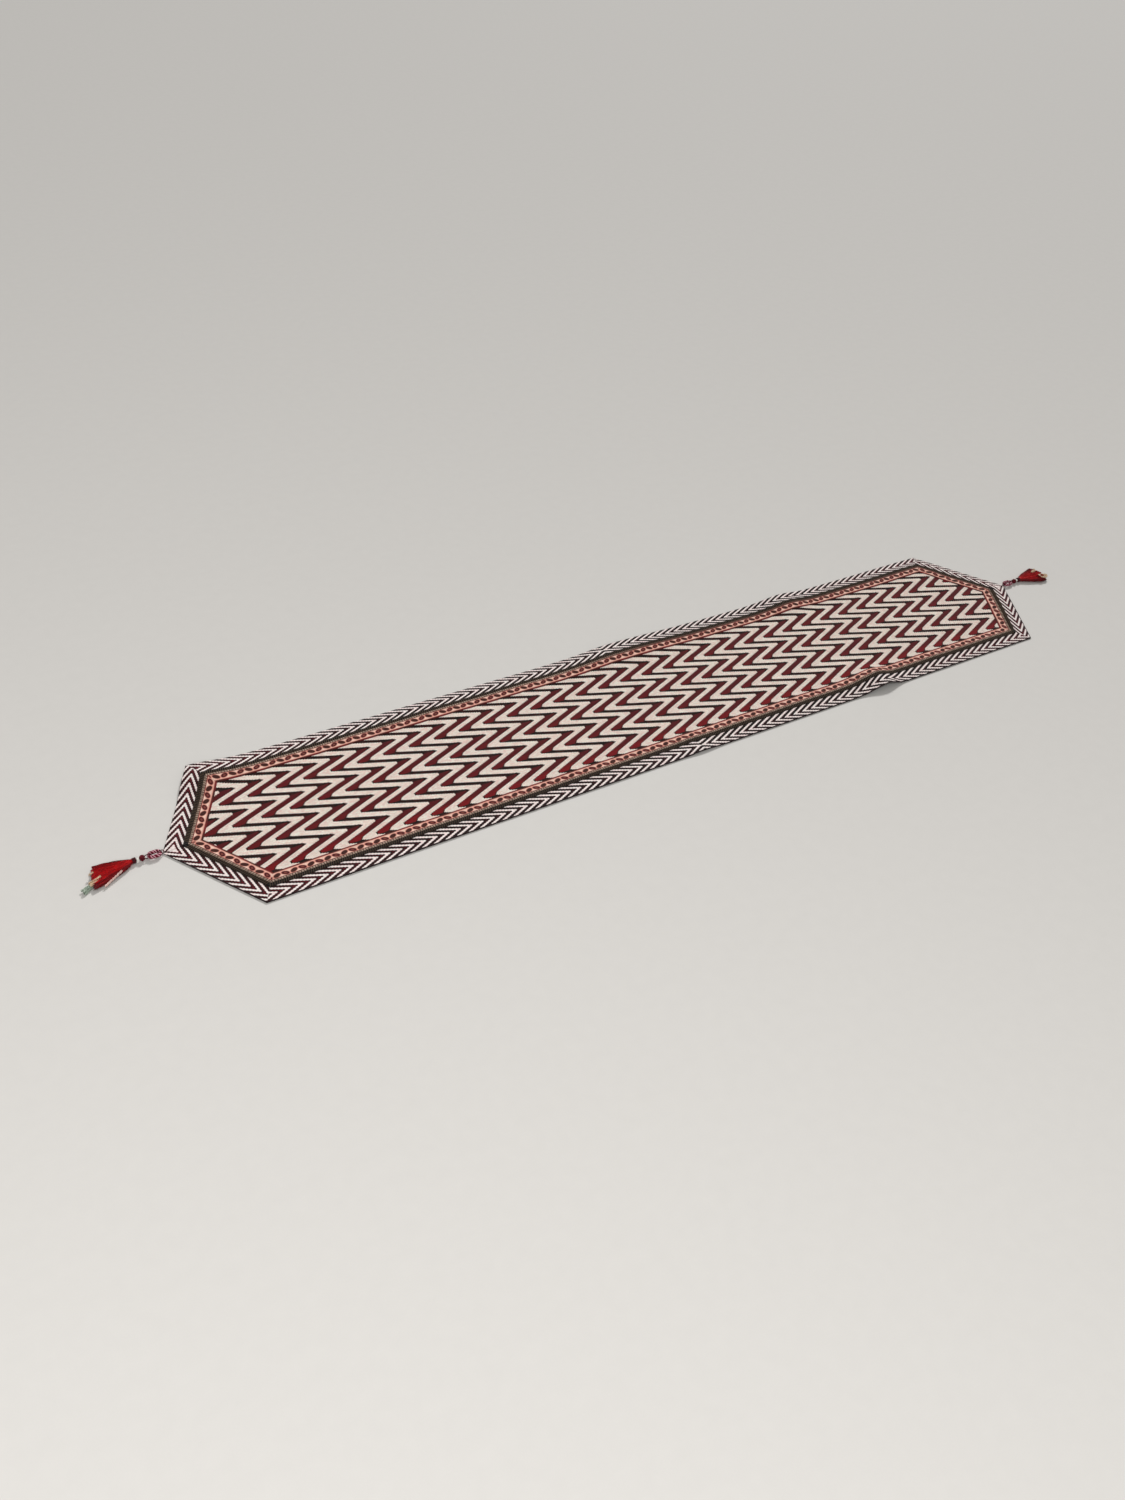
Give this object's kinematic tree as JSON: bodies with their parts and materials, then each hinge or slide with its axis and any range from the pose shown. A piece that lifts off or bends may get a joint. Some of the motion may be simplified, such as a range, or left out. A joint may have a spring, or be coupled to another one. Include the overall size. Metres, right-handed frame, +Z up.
{
  "type": "table runner",
  "caption": "Long table runner with pointed ends: zigzag woven panel, motif ribbon, gimp braid and chevron tape border, plain lining, and a red tassel hung by a loop at each point.",
  "frame": {"origin": "on the surface it lies on, under the middle of the runner", "axes": "+X along the runner towards the right point, +Y across it towards the back edge, +Z up out of the patterned face"},
  "size_m": [2.0396, 0.34, 0.01],
  "materials": {
    "lining_cotton": "plain dark cotton, matt",
    "panel_weave": "jacquard weave, cream with maroon and black zigzags",
    "chevron_tape": "woven tape with pale and dark chevrons",
    "motif_ribbon": "peach ribbon with dark red oval motifs",
    "black_gimp": "black braid with olive cross threads",
    "sewing_thread": "dark red thread",
    "twisted_cord": "cord twisted from wine red and pale strands",
    "knot_yarn": "wound wine red yarn",
    "white_bead": "small off-white bead, glossy",
    "binding_thread": "wound near-black thread",
    "red_strands": "fine red rayon strands, slightly lustrous",
    "pale_strands": "white and pink strands",
    "tuft_yarn": "thick cream yarn with a grey-green end"
  },
  "bodies": {
    "runner": {"lining": "lining_cotton", "centre_panel": "panel_weave", "tape_left_back": "chevron_tape", "tape_left_front": "chevron_tape", "tape_right_back": "chevron_tape", "tape_right_front": "chevron_tape", "ribbon_back": "motif_ribbon", "ribbon_front": "motif_ribbon", "ribbon_left_back": "motif_ribbon", "ribbon_left_front": "motif_ribbon", "ribbon_right_back": "motif_ribbon", "ribbon_right_front": "motif_ribbon", "gimp_back": "black_gimp", "gimp_front": "black_gimp", "gimp_left_back": "black_gimp", "gimp_left_front": "black_gimp", "gimp_right_back": "black_gimp", "gimp_right_front": "black_gimp", "left_tack_thread": "sewing_thread", "right_tack_thread": "sewing_thread"},
    "left_loop_body": {"left_loop": "twisted_cord"},
    "left_tassel_body": {"left_shank_thread": "sewing_thread", "left_knot": "knot_yarn", "left_core_cord": "sewing_thread", "left_bead": "white_bead", "left_neck_binding": "binding_thread", "left_skirt": "red_strands", "left_pale_strands": "pale_strands", "left_yarn_tuft": "tuft_yarn"},
    "right_loop_body": {"right_loop": "twisted_cord"},
    "right_tassel_body": {"right_shank_thread": "sewing_thread", "right_knot": "knot_yarn", "right_core_cord": "sewing_thread", "right_bead": "white_bead", "right_neck_binding": "binding_thread", "right_skirt": "red_strands", "right_pale_strands": "pale_strands", "right_yarn_tuft": "tuft_yarn"}
  },
  "joints": [
    {"name": "left_loop_swing", "type": "hinge", "parent": "runner", "child": "left_loop_body", "pos_m": [-0.9, 0, 0.0049], "axis": [0, 0, 1], "range_deg": [-75, 75]},
    {"name": "left_tassel_tilt", "type": "hinge", "parent": "left_loop_body", "child": "left_tassel_body", "pos_m": [-0.9123, 0, 0.0049], "axis": [0, 1, 0], "range_deg": [-90, 135]},
    {"name": "right_loop_swing", "type": "hinge", "parent": "runner", "child": "right_loop_body", "pos_m": [0.9, 0, 0.0049], "axis": [0, 0, 1], "range_deg": [-75, 75]},
    {"name": "right_tassel_tilt", "type": "hinge", "parent": "right_loop_body", "child": "right_tassel_body", "pos_m": [0.9123, 0, 0.0049], "axis": [0, -1, 0], "range_deg": [-90, 135]}
  ]
}
